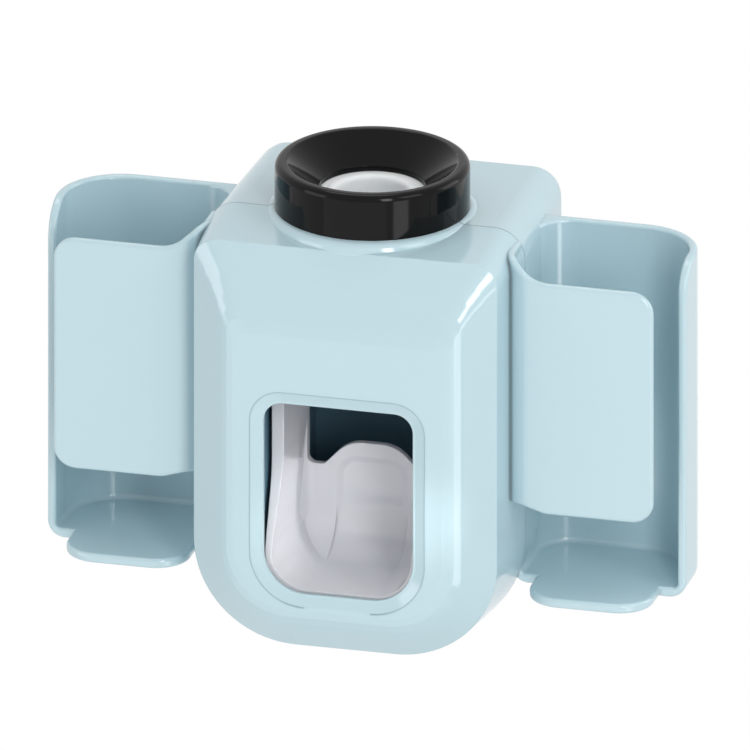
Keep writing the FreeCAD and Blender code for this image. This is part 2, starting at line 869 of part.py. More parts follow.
def piston():
    """Hollow piston: grooved head and stem."""
    head = pump_bore_radius - piston_clearance
    groove = pump_bore_radius - seal_groove_depth
    head_bottom = piston_top_drop + piston_head_height
    stem_bottom = crosshead_top_drop + stem_socket_depth
    return turned([
        (piston_bore_radius, piston_top_drop, 0),
        (head, piston_top_drop, 0),
        (head, seal_groove_drop, 0),
        (groove, seal_groove_drop, 0),
        (groove, seal_groove_drop + seal_groove_height, 0),
        (head, seal_groove_drop + seal_groove_height, 0),
        (head, head_bottom, 0),
        (piston_stem_radius, head_bottom, 0),
        (piston_stem_radius, stem_bottom, 0),
        (piston_bore_radius, stem_bottom, 0),
    ])


def piston_seal():
    """Ring in the piston's groove that wipes the barrel."""
    inner = pump_bore_radius - seal_groove_depth + press_gap
    outer = pump_bore_radius - seal_ring_clearance
    top = seal_groove_drop + press_gap
    bottom = seal_groove_drop + seal_groove_height - press_gap
    return turned([(inner, top, 0), (outer, top, 0), (outer, bottom, 0), (inner, bottom, 0)])


def crosshead():
    """Disc that joins the piston, the nozzle and the lever's pins."""
    bottom = crosshead_top_drop + crosshead_height
    stem = piston_stem_radius + press_gap
    neck = nozzle_neck_radius + press_gap
    body = turned([
        (piston_bore_radius, crosshead_top_drop + stem_socket_depth, 0),
        (stem, crosshead_top_drop + stem_socket_depth, 0),
        (stem, crosshead_top_drop, 0),
        (crosshead_radius, crosshead_top_drop, 0),
        (crosshead_radius, bottom, 0),
        (neck, bottom, 0),
        (neck, bottom - nozzle_socket_depth, 0),
        (piston_bore_radius, bottom - nozzle_socket_depth, 0),
    ])
    reach = crosshead_radius + overrun
    for hole in both_sides(cross_pin(pin_radius + press_gap, pin_inner_x, reach, 0, crosshead_mid_drop)):
        body = body.cut(hole)
    return body


def crosshead_pins():
    """Steel pins that the lever's slots lift."""
    return both_sides(cross_pin(pin_radius, pin_inner_x, pin_end_x, 0, crosshead_mid_drop))


def nozzle():
    """Outlet tube under the crosshead, with a socket for its valve."""
    seat = crosshead_top_drop + crosshead_height
    flange_bottom = seat + nozzle_flange_thickness
    return turned([
        (piston_bore_radius, seat - nozzle_socket_depth, 0),
        (nozzle_neck_radius, seat - nozzle_socket_depth, 0),
        (nozzle_neck_radius, seat, 0),
        (nozzle_flange_radius, seat, 0),
        (nozzle_flange_radius, flange_bottom, nozzle_flange_thickness / 3),
        (nozzle_root_radius, flange_bottom, 0),
        (nozzle_tip_radius, nozzle_tip_drop, 0),
        (outlet_socket_radius, nozzle_tip_drop, 0),
        (outlet_socket_radius, nozzle_tip_drop - outlet_socket_depth, 0),
        (piston_bore_radius, nozzle_tip_drop - outlet_socket_depth, 0),
    ])


def outlet_valve():
    """Soft tapered tip in the nozzle's mouth."""
    outer = outlet_socket_radius - press_gap
    return turned([
        (outlet_bore_radius, nozzle_tip_drop - outlet_socket_depth, 0),
        (outer, nozzle_tip_drop - outlet_socket_depth, 0),
        (outer, nozzle_tip_drop, 0),
        (outlet_tip_radius, nozzle_tip_drop + outlet_stand_out, 0),
        (outlet_bore_radius, nozzle_tip_drop + outlet_stand_out, 0),
    ])


def lever_profile():
    """Side outline of the lever: arm, forward-swept scoop and the tail with the pin slot."""
    return [
        (lever_arm_ahead, lever_top_drop, lever_top_radius),
        (lever_arm_ahead, lever_sweep_start_drop, lever_sweep_radius),
        (lever_scoop_ahead, lever_sweep_end_drop, lever_front_corner_radius),
        (lever_scoop_ahead, lever_floor_drop, lever_front_corner_radius),
        (-lever_back_thickness, lever_floor_drop, scoop_heel_radius + lever_back_thickness),
        (-lever_back_thickness, lever_tail_bottom_drop + lever_tail_radius * 2, lever_tail_radius),
        (-lever_tail_behind, lever_tail_bottom_drop, lever_tail_radius),
        (-lever_tail_behind, lever_top_drop, lever_tail_radius),
    ]


def lever_bowl():
    """Inside of the scoop: flared sides, round floor corners and a round heel, open in front and on top."""
    floor = lever_floor_drop - lever_floor_thickness
    high = lever_top_drop - overrun
    far = lever_scoop_ahead + overrun
    half = [
        (lever_arm_inner_x, high, 0),
        (lever_arm_inner_x, scoop_flare_start_drop, scoop_flare_radius),
        (scoop_inner_x, scoop_flare_end_drop, scoop_flare_radius),
        (scoop_inner_x, floor, scoop_floor_corner_radius),
    ]
    sides = front_prism(half + [(-x, drop, radius) for x, drop, radius in reversed(half)], 0, far)
    corners = plan_prism([
        (-scoop_inner_x, 0, scoop_back_corner_radius),
        (scoop_inner_x, 0, scoop_back_corner_radius),
        (scoop_inner_x, far, 0),
        (-scoop_inner_x, far, 0),
    ], high, floor)
    heel = side_prism([
        (0, high, 0),
        (far, high, 0),
        (far, floor, 0),
        (0, floor, scoop_heel_radius),
    ], -scoop_inner_x, scoop_inner_x)
    return sides.common(corners).common(heel)


def pad_clearance():
    """Space over the pad between the arms, with a round notch beside each arm."""
    side = lever_arm_inner_x
    notch_in = side - notch_width
    high = lever_top_drop - overrun
    half = [
        (side, high, 0),
        (side, notch_bottom_drop, notch_radius),
        (notch_in, notch_bottom_drop, notch_radius),
        (pad_half_flat, pad_top_drop, pad_top_radius),
    ]
    outline = half + [(-x, drop, radius) for x, drop, radius in reversed(half)]
    return front_prism(outline, -lever_tail_behind - overrun, scoop_back_corner_radius)


def pocket_profile(margin):
    """Outline of the pad's pocket grown by a margin."""
    side = pocket_half_width + margin
    top = pocket_top_drop - margin
    return [
        (-side, top, pocket_radius + margin),
        (side, top, pocket_radius + margin),
        (side, lever_floor_drop, 0),
        (-side, lever_floor_drop, 0),
    ]


def pad_pocket():
    """Shallow dish with sloping sides in the pad, which runs out into the scoop's heel."""
    wires = []
    for margin, ahead in ((0, -pocket_depth), (pocket_slope_width, 0)):
        profile = pocket_profile(margin)
        wires.append(rounded_wire([(place(x, ahead, drop), radius) for x, drop, radius in profile]))
    slopes = Part.makeLoft(wires, True, True)
    mouth = front_prism(pocket_profile(pocket_slope_width), 0, scoop_heel_radius)
    deeper = lever_bowl()
    deeper.translate(Vector(0, pocket_depth, 0))
    return deeper.common(slopes.fuse(mouth))


def push_lever():
    """White scoop on two arms, with pivot holes, pin slots and a shallow pocket in the pad."""
    side = lever_outer_x
    lever = side_prism(lever_profile(), -side, side)
    lever = lever.common(front_prism([
        (-side, lever_top_drop - overrun, 0),
        (side, lever_top_drop - overrun, 0),
        (side, lever_floor_drop, lever_bottom_radius),
        (-side, lever_floor_drop, lever_bottom_radius),
    ], -lever_tail_behind - overrun, lever_scoop_ahead + overrun))
    lever = lever.cut(lever_bowl()).cut(pad_clearance())
    lever = lever.cut(pad_pocket())
    reach = side + overrun
    lever = lever.cut(cross_pin(pivot_pin_radius + press_gap, -reach, reach, pivot_ahead, crosshead_mid_drop))
    slot_half = pin_radius + pin_slot_clearance
    slot_end_radius = slot_half * slot_end_share
    slot = side_prism([
        (slot_half, crosshead_mid_drop - slot_half, slot_end_radius),
        (-slot_half - pin_slot_travel, crosshead_mid_drop - slot_half, slot_end_radius),
        (-slot_half - pin_slot_travel, crosshead_mid_drop + slot_half, slot_end_radius),
        (slot_half, crosshead_mid_drop + slot_half, slot_end_radius),
    ], -reach, reach)
    return lever.cut(slot)


def lever_pivot_pins():
    """Steel pins pressed into the lever's arms, turning in the frame's bushes."""
    end = frame_inner_x + frame_wall
    return both_sides(cross_pin(pivot_pin_radius, pivot_pin_inner_x, end, pivot_ahead, crosshead_mid_drop))


def pivot_bushes():
    """Flanged bushes in the frame's cheeks."""
    bore = pivot_pin_radius + bush_running_gap
    outer = bore + bush_wall
    start = frame_inner_x - bush_flange_thickness
    end = frame_inner_x + frame_wall
    bush = cross_pin(outer, start, end, pivot_ahead, crosshead_mid_drop)
    flange = cross_pin(outer + bush_flange_wall, start, frame_inner_x, pivot_ahead, crosshead_mid_drop)
    hole = cross_pin(bore, start - overrun, end + overrun, pivot_ahead, crosshead_mid_drop)
    return both_sides(bush.fuse(flange).cut(hole).removeSplitter())


def pump_frame():
    """Dark inner frame: plate under the cylinder's flange, two cheeks for the pivots and a back."""
    outer_x = frame_inner_x + frame_wall
    back = -frame_back_behind - frame_wall
    cheek_profile = [
        (frame_top_ahead, flange_bottom_drop, 0),
        (frame_front_ahead, frame_shoulder_drop, 0),
        (frame_front_ahead, frame_bottom_drop - frame_foot_cut, 0),
        (frame_front_ahead - frame_foot_cut, frame_bottom_drop, 0),
        (back, frame_bottom_drop, 0),
        (back, flange_bottom_drop, 0),
    ]
    frame = side_prism(cheek_profile, -outer_x, outer_x)
    plate_bottom = flange_bottom_drop + frame_plate_thickness
    frame = frame.cut(box(-frame_inner_x, frame_inner_x, -frame_back_behind, frame_front_ahead + overrun,
                          plate_bottom, frame_bottom_drop + overrun))
    hole_depth = frame_plate_thickness + overrun * 2
    frame = frame.cut(Part.makeCylinder(cup_radius + fit_gap, hole_depth, place(0, 0, plate_bottom + overrun)))
    bush_radius = pivot_pin_radius + bush_running_gap + bush_wall + press_gap
    reach = outer_x + overrun
    frame = frame.cut(cross_pin(bush_radius, -reach, reach, pivot_ahead, crosshead_mid_drop))
    for x, drop in frame_screw_places():
        frame = frame.cut(post(x, drop, screw_radius + screw_hole_gap, back - overrun, back + overrun))
    return frame


def screw(x, drop, seat_ahead, length, towards_front):
    """Pan-head screw whose head seats on a plane and whose shank runs forward or back."""
    along = Vector(0, -1, 0) if towards_front else Vector(0, 1, 0)
    seat = place(x, seat_ahead, drop)
    shank = Part.makeCylinder(screw_radius, length, seat, along)
    head = Part.makeCylinder(screw_head_radius, screw_head_height, seat, along * -1)
    rims = [edge for edge in head.Edges if edge.isClosed()]
    far = max(rims, key=lambda edge: edge.BoundBox.Center.distanceToPoint(seat))
    head = head.makeFillet(screw_head_height / 2, [far])
    return head.fuse(shank)


def frame_screws():
    """Screws through the frame's back into the rear shell's bosses."""
    return [screw(x, drop, -frame_back_behind, frame_screw_length - fit_gap, False)
            for x, drop in frame_screw_places()]


def shell_screws():
    """Screws from behind that draw the shells together."""
    return [screw(x, drop, -shell_screw_seat_behind, shell_screw_length - fit_gap, True)
            for x, drop in shell_screw_places()]


def return_spring():
    """Wire spring between the cylinder's cup and the crosshead."""
    top = cup_bottom_drop + spring_wire_radius + spring_end_gap
    bottom = crosshead_top_drop - spring_wire_radius - spring_end_gap
    height = bottom - top
    helix = Part.makeHelix(height / spring_turns, height, spring_mean_radius)
    helix.translate(place(0, 0, bottom))
    start = place(spring_mean_radius, 0, bottom)
    section = Part.Wire([Part.makeCircle(spring_wire_radius, start, Vector(0, 1, 0))])
    pipe = Part.BRepOffsetAPI.MakePipeShell(Part.Wire(helix.Edges))
    pipe.setFrenetMode(True)
    pipe.add(section)
    pipe.build()
    pipe.makeSolid()
    return pipe.shape()


def wall_plate():
    """Plate that stays on the wall, with two upward hooks."""
    plate = front_prism([
        (-plate_half_width, deck_height - plate_half_height, plate_corner_radius),
        (plate_half_width, deck_height - plate_half_height, plate_corner_radius),
        (plate_half_width, deck_height + plate_half_height, plate_corner_radius),
        (-plate_half_width, deck_height + plate_half_height, plate_corner_radius),
    ], wall_ahead(pad_thickness), wall_ahead(pad_thickness + plate_thickness))
    neck_end = pocket_face_from_wall + hook_back_gap
    bottom = deck_height - hook_bottom_z
    neck_top = bottom - hook_neck_height
    hook = side_prism([
        (wall_ahead(pad_thickness), bottom, 0),
        (wall_ahead(neck_end + hook_thickness), bottom, hook_thickness / 2),
        (wall_ahead(neck_end + hook_thickness), neck_top - hook_rise, hook_thickness / 3),
        (wall_ahead(neck_end), neck_top - hook_rise, hook_thickness / 3),
        (wall_ahead(neck_end), neck_top, 0),
        (wall_ahead(pad_thickness), neck_top, 0),
    ], hook_x - hook_width / 2, hook_x + hook_width / 2)
    for side in both_sides(hook):
        plate = plate.fuse(side)
    return plate


def adhesive_pad():
    """Foam pad that holds the plate on the wall."""
    side = plate_half_width - pad_margin
    reach = plate_half_height - pad_margin
    radius = plate_corner_radius - pad_margin
    return front_prism([
        (-side, deck_height - reach, radius),
        (side, deck_height - reach, radius),
        (side, deck_height + reach, radius),
        (-side, deck_height + reach, radius),
    ], wall_ahead(0), wall_ahead(pad_thickness))


NODES = (
    front_shell, rear_shell, shell_screws, funnel_ring, tube_seal, pump_cylinder, cylinder_o_ring,
    inlet_valve, pump_frame, frame_screws, pivot_bushes, lever_pivot_pins, push_lever, piston,
    piston_seal, crosshead, crosshead_pins, nozzle, outlet_valve, return_spring, wall_plate, adhesive_pad,
)

os.makedirs("parts", exist_ok=True)
for build in NODES:
    made = build()
    solids = made if isinstance(made, list) else [made]
    node = Part.makeCompound([solid for shape in solids for solid in shape.Solids])
    node.exportStep("parts/" + build.__name__ + ".step")
    print(build.__name__, len(node.Solids), node.isValid(), round(node.Volume))
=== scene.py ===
"""Looks of a wall-hung toothpaste dispenser, dressed round its packed construction.

Lengths are in metres in the part's own frame: +X to the right seen from the front, +Y into the wall, +Z up,
with the origin at the middle of the wall face. Sizes of a piece and of a pattern are given in millimetres.
"""

import json
import logging
import math
from dataclasses import dataclass
from enum import Enum

import bpy
from mathutils import Matrix, Vector

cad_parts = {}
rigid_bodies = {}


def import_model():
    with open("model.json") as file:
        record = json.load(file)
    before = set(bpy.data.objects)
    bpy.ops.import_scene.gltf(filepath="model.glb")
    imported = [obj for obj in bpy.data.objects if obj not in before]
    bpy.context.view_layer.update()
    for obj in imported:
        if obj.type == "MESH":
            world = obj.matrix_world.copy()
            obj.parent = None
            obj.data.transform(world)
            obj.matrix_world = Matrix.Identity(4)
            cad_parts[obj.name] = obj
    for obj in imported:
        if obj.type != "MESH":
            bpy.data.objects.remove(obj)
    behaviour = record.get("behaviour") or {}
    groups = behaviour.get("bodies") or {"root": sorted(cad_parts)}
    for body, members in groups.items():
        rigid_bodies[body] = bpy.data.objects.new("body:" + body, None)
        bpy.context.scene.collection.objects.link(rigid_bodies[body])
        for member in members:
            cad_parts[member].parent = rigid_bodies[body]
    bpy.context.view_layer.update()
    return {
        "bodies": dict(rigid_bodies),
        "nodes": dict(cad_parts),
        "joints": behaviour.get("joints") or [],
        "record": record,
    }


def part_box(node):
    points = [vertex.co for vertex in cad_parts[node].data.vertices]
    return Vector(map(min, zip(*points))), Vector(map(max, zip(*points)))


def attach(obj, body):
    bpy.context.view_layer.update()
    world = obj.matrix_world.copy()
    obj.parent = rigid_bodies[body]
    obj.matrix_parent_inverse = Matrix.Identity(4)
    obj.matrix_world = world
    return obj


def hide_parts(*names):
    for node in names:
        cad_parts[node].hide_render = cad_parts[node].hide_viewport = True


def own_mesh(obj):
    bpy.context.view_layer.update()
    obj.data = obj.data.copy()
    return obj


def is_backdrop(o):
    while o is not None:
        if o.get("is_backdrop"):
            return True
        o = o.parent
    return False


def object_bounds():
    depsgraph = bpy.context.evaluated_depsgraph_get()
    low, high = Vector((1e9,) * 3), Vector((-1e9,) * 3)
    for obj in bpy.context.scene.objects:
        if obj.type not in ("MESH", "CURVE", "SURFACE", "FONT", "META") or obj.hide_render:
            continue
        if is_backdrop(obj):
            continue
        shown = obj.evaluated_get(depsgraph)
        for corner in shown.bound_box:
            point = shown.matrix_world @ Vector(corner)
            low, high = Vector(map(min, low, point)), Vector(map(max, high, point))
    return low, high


MM = 0.001
LOG = logging.getLogger("dispenser")

# Rays that a finish spends on a rounded edge or a crease
EDGE_SAMPLES = 6
# Share of open sky at which a crease's painted shade is at its darkest, and at which there is none
CREASE_CLOSED_SHARE = 0.2
CREASE_OPEN_SHARE = 0.85
# Layers of noise in flow clouds, in orange peel and in the stain of a plating
CLOUD_DETAIL = 3.0
PEEL_DETAIL = 1.0
STAIN_DETAIL = 4.0
# The Mix node's colour sockets: both inputs and the output
MIX_FIRST = 6
MIX_SECOND = 7
MIX_RESULT = 2


class Body(Enum):
    """Bodies of the construction that new pieces ride on."""

    HOUSING = "housing"
    PISTON = "piston"


class Slot(Enum):
    """The record's material slots that new pieces' finishes stand for."""

    HOUSING_BLUE = "housing_blue"
    STEEL = "steel"


class Stance(Enum):
    """Direction of a softbox's long side."""

    UPRIGHT = (0.0, 0.0, 1.0)
    LEVEL = (1.0, 0.0, 0.0)


def linear(hex_colour: str) -> tuple[float, float, float, float]:
    """Turns an sRGB hex colour into linear RGBA.

    Args:
        hex_colour: Six hex digits with a leading hash.

    Returns:
        Linear red, green and blue with an alpha of 1.
    """
    channels = [int(hex_colour[start:start + 2], 16) / 255 for start in (1, 3, 5)]
    toe, gain, lift, power = 0.04045, 12.92, 0.055, 2.4
    values = [c / gain if c <= toe else ((c + lift) / (1 + lift)) ** power for c in channels]
    return values[0], values[1], values[2], 1.0


def add_node(tree: bpy.types.NodeTree, kind: str, settings: dict | None = None,
             links: dict | None = None) -> bpy.types.Node:
    """Adds a node with its settings and links.

    Args:
        tree: Node tree that gets the node.
        kind: Blender's name of the node's type.
        settings: Values by input name, input number or property name.
        links: Output sockets by the name or number of the input that they feed.

    Returns:
        The new node.
    """
    node = tree.nodes.new(kind)
    for name, value in (settings or {}).items():
        if isinstance(name, int) or name in node.inputs:
            node.inputs[name].default_value = value
        else:
            setattr(node, name, value)
    for name, source in (links or {}).items():
        tree.links.new(source, node.inputs[name])
    return node


def empty_material(name: str) -> tuple[bpy.types.Material, bpy.types.NodeTree]:
    """Makes a material with an empty node tree.

    Args:
        name: Name of the material.

    Returns:
        The material and its tree.
    """
    material = bpy.data.materials.new(name)
    material.use_nodes = True
    material.node_tree.nodes.clear()
    return material, material.node_tree


@dataclass(frozen=True)
class MouldedPlastic:
    """Moulded plastic or rubber: one colour right through, faint flow clouds and a skin as the tool left it.

    Edges are rounded, and creases hold a little painted shade that darkens their colour. The peel is the fine
    unevenness of the skin. An eroded grain or a foam's pits are finer than the render shows, so their peel is
    drawn coarser than the real one.
    """

    name: str
    colour: str
    cloud_colour: str
    roughness: float
    ior: float
    roughness_spread: float = 0.05
    cloud_mm: float = 30.0
    peel_mm: float = 1.6
    peel_depth_mm: float = 0.001
    edge_mm: float = 0.4
    # Reach and depth of the painted shade that darkens the colour in creases
    crease_mm: float = 1.5
    painted_crease_shade: float = 0.45
    subsurface: float = 0.0
    subsurface_mm: float = 1.0

    def material(self) -> bpy.types.Material:
        """Builds the finish as a material."""
        material, tree = empty_material(self.name)
        place = add_node(tree, "ShaderNodeTexCoord").outputs["Object"]
        cloud = add_node(tree, "ShaderNodeTexNoise",
                         {"Scale": 1 / (self.cloud_mm * MM), "Detail": CLOUD_DETAIL}, {"Vector": place})
        tint = add_node(tree, "ShaderNodeMix",
                        {"data_type": "RGBA", MIX_FIRST: linear(self.colour),
                         MIX_SECOND: linear(self.cloud_colour)}, {"Factor": cloud.outputs["Fac"]})
        # Painted shade: the colour is darkened in creases and corners where little open sky is near
        open_sky = add_node(tree, "ShaderNodeAmbientOcclusion",
                            {"samples": EDGE_SAMPLES, "Distance": self.crease_mm * MM})
        painted_shade = add_node(tree, "ShaderNodeMapRange",
                         {"From Min": CREASE_CLOSED_SHARE, "From Max": CREASE_OPEN_SHARE,
                          "To Min": self.painted_crease_shade}, {"Value": open_sky.outputs["AO"]})
        body = add_node(tree, "ShaderNodeMix",
                        {"data_type": "RGBA", "blend_type": "MULTIPLY", "Factor": 1.0},
                        {MIX_FIRST: tint.outputs[MIX_RESULT], MIX_SECOND: painted_shade.outputs["Result"]})
        peel = add_node(tree, "ShaderNodeTexNoise",
                        {"Scale": 1 / (self.peel_mm * MM), "Detail": PEEL_DETAIL}, {"Vector": place})
        gloss = add_node(tree, "ShaderNodeMapRange",
                         {"To Min": self.roughness - self.roughness_spread,
                          "To Max": self.roughness + self.roughness_spread}, {"Value": cloud.outputs["Fac"]})
        edge = add_node(tree, "ShaderNodeBevel", {"samples": EDGE_SAMPLES, "Radius": self.edge_mm * MM})
        bump = add_node(tree, "ShaderNodeBump", {"Strength": 1.0, "Distance": self.peel_depth_mm * MM},
                        {"Height": peel.outputs["Fac"], "Normal": edge.outputs["Normal"]})
        shader = add_node(tree, "ShaderNodeBsdfPrincipled",
                          {"IOR": self.ior, "Subsurface Weight": self.subsurface,
                           "Subsurface Scale": self.subsurface_mm * MM, "Subsurface Radius": (1.0, 1.0, 1.0)},
                          {"Base Color": body.outputs[MIX_RESULT], "Roughness": gloss.outputs["Result"],
                           "Normal": bump.outputs["Normal"]})
        add_node(tree, "ShaderNodeOutputMaterial", None, {"Surface": shader.outputs["BSDF"]})
        return material


@dataclass(frozen=True)
class PlatedSteel:
    """Drawn steel wire or turned pin under bright zinc, with a faint stain and the marks of the tool.

    The tool's marks are finer than the render shows, so they are drawn coarser than the real ones.
    """

    name: str
    colour: str
    stain_colour: str
    roughness: float
    stain_mm: float
    mark_mm: float
    mark_depth_mm: float

    def material(self) -> bpy.types.Material:
        """Builds the finish as a material."""
        material, tree = empty_material(self.name)
        place = add_node(tree, "ShaderNodeTexCoord").outputs["Object"]
        stain = add_node(tree, "ShaderNodeTexNoise",
                         {"Scale": 1 / (self.stain_mm * MM), "Detail": STAIN_DETAIL}, {"Vector": place})
        tint = add_node(tree, "ShaderNodeMix",
                        {"data_type": "RGBA", MIX_FIRST: linear(self.colour),
                         MIX_SECOND: linear(self.stain_colour)}, {"Factor": stain.outputs["Fac"]})
        marks = add_node(tree, "ShaderNodeTexNoise", {"Scale": 1 / (self.mark_mm * MM)}, {"Vector": place})
        bump = add_node(tree, "ShaderNodeBump", {"Distance": self.mark_depth_mm * MM},
                        {"Height": marks.outputs["Fac"]})
        shader = add_node(tree, "ShaderNodeBsdfPrincipled", {"Metallic": 1.0, "Roughness": self.roughness},
                          {"Base Color": tint.outputs[MIX_RESULT], "Normal": bump.outputs["Normal"]})
        add_node(tree, "ShaderNodeOutputMaterial", None, {"Surface": shader.outputs["BSDF"]})
        return material


# Pale blue ABS, injection moulded in a polished tool: clean gloss that mirrors its neighbours softly
PALE_BLUE_ABS = MouldedPlastic(
    "pale_blue_abs_polished_moulding", "#BBD5DD", "#B8D3DC", roughness=0.12, ior=1.7, roughness_spread=0.01,
    cloud_mm=45.0, edge_mm=0.5)
# The same ABS, darker: a fine line of painted shadow along the outer edge of the window's sloping lip
LIP_PAINTED_SHADOW = MouldedPlastic(
    "pale_blue_abs_painted_lip_shadow", "#9DB8C2", "#9AB6C0", roughness=0.3, ior=1.5, roughness_spread=0.02,
    cloud_mm=45.0)
# Black ABS from a polished tool: nearly all that shows is what it mirrors
BLACK_ABS = MouldedPlastic(
    "black_abs_polished_moulding", "#060606", "#080808", roughness=0.1, ior=1.26, roughness_spread=0.01,
    edge_mm=0.3)
# White ABS from a polished tool: soft shades and thin bright lines along its edges
WHITE_ABS = MouldedPlastic(
    "white_abs_polished_moulding", "#E8E9ED", "#E5E6EB", roughness=0.06, ior=1.6, roughness_spread=0.01,
    edge_mm=0.5, crease_mm=1.0, painted_crease_shade=0.7)
# Slate polypropylene from a spark-eroded tool: a fine matt grain that keeps the wall plate quiet
SLATE_PP = MouldedPlastic(
    "slate_polypropylene_eroded_moulding", "#3A4C55", "#354750", roughness=0.55, ior=1.49,
    cloud_mm=20.0, peel_mm=0.5, peel_depth_mm=0.03)
# Grey-blue polypropylene from such a tool: pale enough to read as slate in the dark of the housing
SHADE_PP = MouldedPlastic(
    "grey_blue_polypropylene_eroded_moulding", "#5E8092", "#5A7C8E", roughness=0.5, ior=1.49,
    cloud_mm=20.0, peel_mm=0.5, peel_depth_mm=0.02)
# White silicone, press moulded: milky and satin, light creeps under its skin
WHITE_SILICONE = MouldedPlastic(
    "white_silicone_pressed_moulding", "#F4F7F8", "#EFF3F4", roughness=0.3, ior=1.41, roughness_spread=0.04,
    cloud_mm=12.0, peel_mm=0.6, peel_depth_mm=0.004, crease_mm=1.0, painted_crease_shade=0.7,
    subsurface=0.25, subsurface_mm=1.5)
# Black nitrile rubber, press moulded: dull and dark
BLACK_NITRILE = MouldedPlastic(
    "black_nitrile_pressed_moulding", "#1B1B1C", "#232324", roughness=0.6, ior=1.52,
    cloud_mm=8.0, peel_mm=0.4, peel_depth_mm=0.01)
# Acrylic foam tape, cast: pale, matt and finely pitted
ACRYLIC_FOAM = MouldedPlastic(
    "acrylic_foam_tape_cast", "#CDD0D0", "#C2C6C6", roughness=0.8, ior=1.47,
    cloud_mm=5.0, peel_mm=0.35, peel_depth_mm=0.05)
# Zinc-plated steel, drawn and turned: bright and cool with fine marks of the tool
ZINC_STEEL = PlatedSteel(
    "zinc_plated_steel_drawn", "#C9CACC", "#B5B8BC", roughness=0.3,
    stain_mm=3.2, mark_mm=0.4, mark_depth_mm=0.004)


@dataclass
class SubAssembly:
    """Group of pieces: construction nodes that get finishes, and new pieces beside them."""

    frame: dict

    def box_mm(self, node: str) -> tuple[Vector, Vector]:
        """Gives a node's lowest and highest corners at rest in millimetres."""
        low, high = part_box(node)
        return low / MM, high / MM

    def dress(self, finish: MouldedPlastic | PlatedSteel, *nodes: str) -> None:
        """Gives construction nodes a finish.

        Args:
            finish: The finish.
            nodes: Names of the nodes.
        """
        material = bpy.data.materials.get(finish.name) or finish.material()
        for name in nodes:
            mesh = self.frame["nodes"][name].data
            mesh.materials.clear()
            mesh.materials.append(material)
            LOG.info("%s: %s", name, finish.name)

    def add_sheet(self, name: str, points_mm: list[tuple[float, float, float]], row: int,
                  finish: MouldedPlastic | PlatedSteel, body: Body, slot: Slot) -> bpy.types.Object:
        """Adds a smooth sheet from rows of points.

        Args:
            name: Name of the piece.
            points_mm: Points, row after row.
            row: Number of points in a row.
            finish: The finish.
            body: Body that the piece rides on.
            slot: The record's slot that the finish stands for; not used.

        Returns:
            The piece.
        """
        mesh = bpy.data.meshes.new(name)
        starts = [start + step for start in range(0, len(points_mm) - row, row) for step in range(row - 1)]
        faces = [(start, start + 1, start + row + 1, start + row) for start in starts]
        mesh.from_pydata([Vector(point) * MM for point in points_mm], [], faces)
        mesh.polygons.foreach_set("use_smooth", [True] * len(mesh.polygons))
        mesh.materials.append(bpy.data.materials.get(finish.name) or finish.material())
        piece = bpy.data.objects.new(name, mesh)
        bpy.context.scene.collection.objects.link(piece)
        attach(piece, body.value)
        LOG.info("%s: %s", name, finish.name)
        return piece


@dataclass
class Housing(SubAssembly):
    """Both shells with the side wells, and the screws that join them."""

    def build(self) -> None:
        """Dresses the housing."""
        self.dress(PALE_BLUE_ABS, "front_shell", "rear_shell")
        self.dress(ZINC_STEEL, "shell_screws")


@dataclass
class CollarBead(SubAssembly):
    """Rounded bead where the deck rises to the funnel ring, parted at the seam between the shells."""

    ring_gap_mm: float = 0.2
    sink_mm: float = 0.1
    width_mm: float = 2.3
    height_mm: float = 2.9
    foot_mm: float = 0.8
    seam_gap_mm: float = 0.2
    arc_steps: int = 10
    turn_steps: int = 72

    def profile(self, inner_radius: float, top: float) -> list[tuple[float, float]]:
        """Works out the bead's section in millimetres.

        Args:
            inner_radius: Radius of the inner edge.
            top: Height of the inner edge.

        Returns:
            Radius and height of each point, from the ring out and down into the deck.
        """
        low = top - self.height_mm
        points = []
        for step in range(self.arc_steps + 1):
            angle = math.pi / 2 * (1 - step / self.arc_steps)
            radius = inner_radius + self.width_mm * math.cos(angle)
            points.append((radius, low + self.height_mm * math.sin(angle)))
        return points + [(radius, low - self.foot_mm)]

    def half(self, name: str, front: bool) -> None:
        """Adds one half of the bead.

        Args:
            name: Name of the piece.
            front: True for the half on the front shell.
        """
        ring_low, ring_high = self.box_mm("funnel_ring")
        shell_high = self.box_mm("front_shell")[1]
        axis_y = (ring_low.y + ring_high.y) / 2
        seam_ahead = axis_y - shell_high.y - (0 if front else self.seam_gap_mm)
        profile = self.profile(ring_high.x + self.ring_gap_mm, shell_high.z - self.sink_mm)
        points = []
        for step in range(self.turn_steps + 1):
            for radius, height in profile:
                limit = math.acos(seam_ahead / radius)
                start, end = (-limit, limit) if front else (limit, math.tau - limit)
                angle = start + (end - start) * step / self.turn_steps
                points.append((radius * math.sin(angle), axis_y - radius * math.cos(angle), height))
        self.add_sheet(name, points, len(profile), PALE_BLUE_ABS, Body.HOUSING, Slot.HOUSING_BLUE)

    def build(self) -> None:
        """Adds both halves."""
        self.half("collar_bead_front", True)
        self.half("collar_bead_rear", False)


